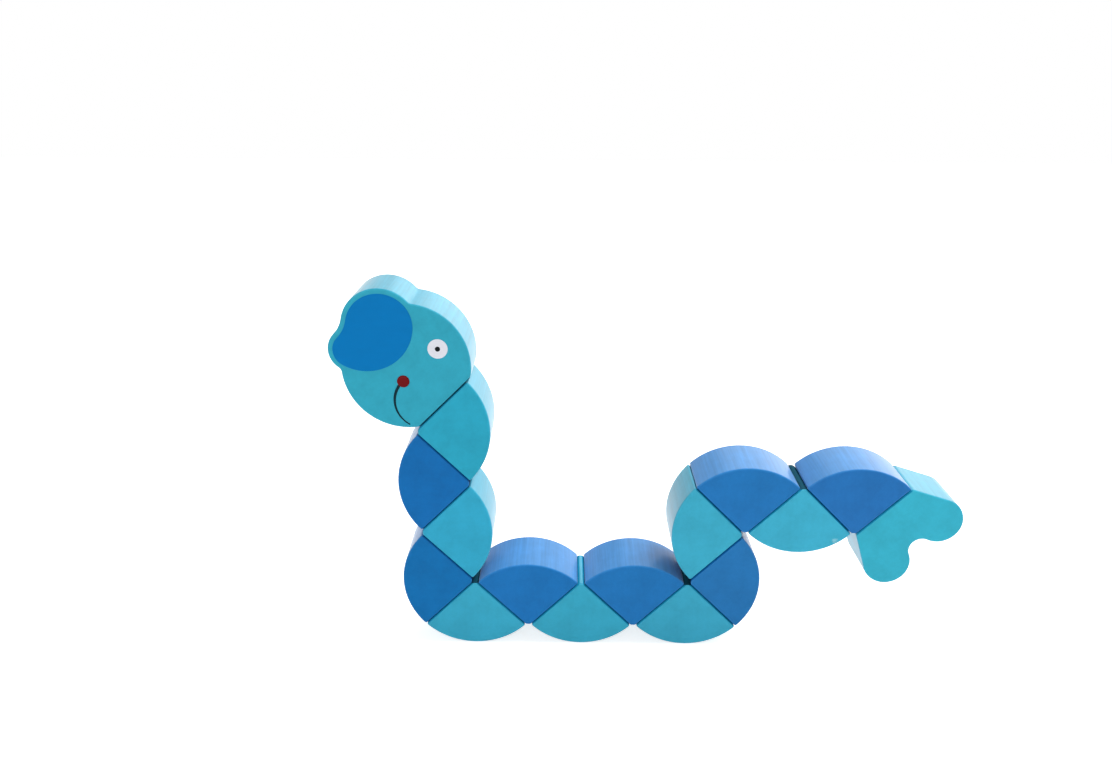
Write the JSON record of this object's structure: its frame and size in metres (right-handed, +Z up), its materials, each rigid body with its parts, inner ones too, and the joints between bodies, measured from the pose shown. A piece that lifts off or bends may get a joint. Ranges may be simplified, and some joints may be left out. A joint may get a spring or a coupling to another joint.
{
  "type": "wooden worm toy",
  "caption": "Wooden worm toy: quarter-round blocks strung on an elastic cord between a capped head and a forked tail, each turning against the next about the cord.",
  "frame": {"origin": "under the middle of the standing worm's bounding box, on the surface that it stands on", "axes": "+X from the head towards the tail, +Y away from the side that the picture shows, through the thickness, +Z up"},
  "size_m": [0.2034, 0.0204, 0.124],
  "materials": {
    "light_blue_wood": "light blue stain under satin varnish, fine grain",
    "mid_blue_wood": "mid blue stain under satin varnish, fine grain",
    "cap_paint": "satin blue paint film",
    "white_paint": "satin white paint film",
    "black_paint": "satin black paint film",
    "red_paint": "satin dark red paint film",
    "elastic_cord": "woven cover over a rubber core",
    "bare_beech": "bare turned beech"
  },
  "bodies": {
    "head": {"head": "light_blue_wood", "cord_in_head": "elastic_cord", "head_collar": "bare_beech", "cap_paint": "cap_paint", "eye_paint": "white_paint", "pupil_paint": "black_paint", "nose_paint": "red_paint", "mouth_paint": "black_paint"},
    "light_block_1": {"light_block_1": "light_blue_wood", "cord_in_light_block_1": "elastic_cord"},
    "mid_block_1": {"mid_block_1": "mid_blue_wood", "cord_in_mid_block_1": "elastic_cord"},
    "light_block_2": {"light_block_2": "light_blue_wood", "cord_in_light_block_2": "elastic_cord"},
    "mid_block_2": {"mid_block_2": "mid_blue_wood", "cord_in_mid_block_2": "elastic_cord"},
    "light_block_3": {"light_block_3": "light_blue_wood", "cord_in_light_block_3": "elastic_cord"},
    "mid_block_3": {"mid_block_3": "mid_blue_wood", "cord_in_mid_block_3": "elastic_cord"},
    "light_block_4": {"light_block_4": "light_blue_wood", "cord_in_light_block_4": "elastic_cord"},
    "mid_block_4": {"mid_block_4": "mid_blue_wood", "cord_in_mid_block_4": "elastic_cord"},
    "light_block_5": {"light_block_5": "light_blue_wood", "cord_in_light_block_5": "elastic_cord"},
    "mid_block_5": {"mid_block_5": "mid_blue_wood", "cord_in_mid_block_5": "elastic_cord"},
    "light_block_6": {"light_block_6": "light_blue_wood", "cord_in_light_block_6": "elastic_cord"},
    "mid_block_6": {"mid_block_6": "mid_blue_wood", "cord_in_mid_block_6": "elastic_cord"},
    "light_block_7": {"light_block_7": "light_blue_wood", "cord_in_light_block_7": "elastic_cord"},
    "mid_block_7": {"mid_block_7": "mid_blue_wood", "cord_in_mid_block_7": "elastic_cord"},
    "tail": {"tail": "light_blue_wood", "cord_in_tail": "elastic_cord", "tail_collar": "bare_beech"}
  },
  "joints": [
    {"name": "neck_turn", "type": "hinge", "parent": "light_block_1", "child": "head", "pos_m": [-0.06711, 0, 0.08644], "axis": [-0.7071, 0, 0.7071], "range_deg": [-90, 270]},
    {"name": "turn_1", "type": "hinge", "parent": "mid_block_1", "child": "light_block_1", "pos_m": [-0.0671, 0, 0.0686], "axis": [0.7071, 0, 0.7071], "range_deg": [-105, 105]},
    {"name": "turn_2", "type": "hinge", "parent": "light_block_2", "child": "mid_block_1", "pos_m": [-0.06711, 0, 0.05077], "axis": [-0.7071, 0, 0.7071], "range_deg": [-90, 270]},
    {"name": "turn_3", "type": "hinge", "parent": "mid_block_2", "child": "light_block_2", "pos_m": [-0.0671, 0, 0.03294], "axis": [0.7071, 0, 0.7071], "range_deg": [-15, 15]},
    {"name": "turn_4", "type": "hinge", "parent": "light_block_3", "child": "mid_block_2", "pos_m": [-0.06711, 0, 0.0151], "axis": [-0.7071, 0, 0.7071], "continuous": true},
    {"name": "turn_5", "type": "hinge", "parent": "mid_block_3", "child": "light_block_3", "pos_m": [-0.04928, 0, 0.01509], "axis": [-0.7071, 0, -0.7071], "range_deg": [-15, 15]},
    {"name": "turn_6", "type": "hinge", "parent": "light_block_4", "child": "mid_block_3", "pos_m": [-0.03145, 0, 0.0151], "axis": [-0.7071, 0, 0.7071], "continuous": true},
    {"name": "turn_7", "type": "hinge", "parent": "light_block_4", "child": "mid_block_4", "pos_m": [-0.01361, 0, 0.01509], "axis": [0.7071, 0, 0.7071], "range_deg": [-90, 270]},
    {"name": "turn_8", "type": "hinge", "parent": "mid_block_4", "child": "light_block_5", "pos_m": [0.00422, 0, 0.0151], "axis": [0.7071, 0, -0.7071], "range_deg": [-15, 15]},
    {"name": "turn_9", "type": "hinge", "parent": "light_block_5", "child": "mid_block_5", "pos_m": [0.02205, 0, 0.01509], "axis": [0.7071, 0, 0.7071], "continuous": true},
    {"name": "turn_10", "type": "hinge", "parent": "mid_block_5", "child": "light_block_6", "pos_m": [0.02207, 0, 0.03292], "axis": [-0.7071, 0, 0.7071], "range_deg": [-15, 15]},
    {"name": "turn_11", "type": "hinge", "parent": "light_block_6", "child": "mid_block_6", "pos_m": [0.02205, 0, 0.05076], "axis": [0.7071, 0, 0.7071], "continuous": true},
    {"name": "turn_12", "type": "hinge", "parent": "mid_block_6", "child": "light_block_7", "pos_m": [0.03988, 0, 0.05077], "axis": [0.7071, 0, -0.7071], "range_deg": [-15, 15]},
    {"name": "turn_13", "type": "hinge", "parent": "light_block_7", "child": "mid_block_7", "pos_m": [0.05772, 0, 0.05076], "axis": [0.7071, 0, 0.7071], "range_deg": [-115, 115]},
    {"name": "tail_turn", "type": "hinge", "parent": "mid_block_7", "child": "tail", "pos_m": [0.07557, 0, 0.05076], "axis": [0.7071, 0, -0.7071], "continuous": true}
  ]
}
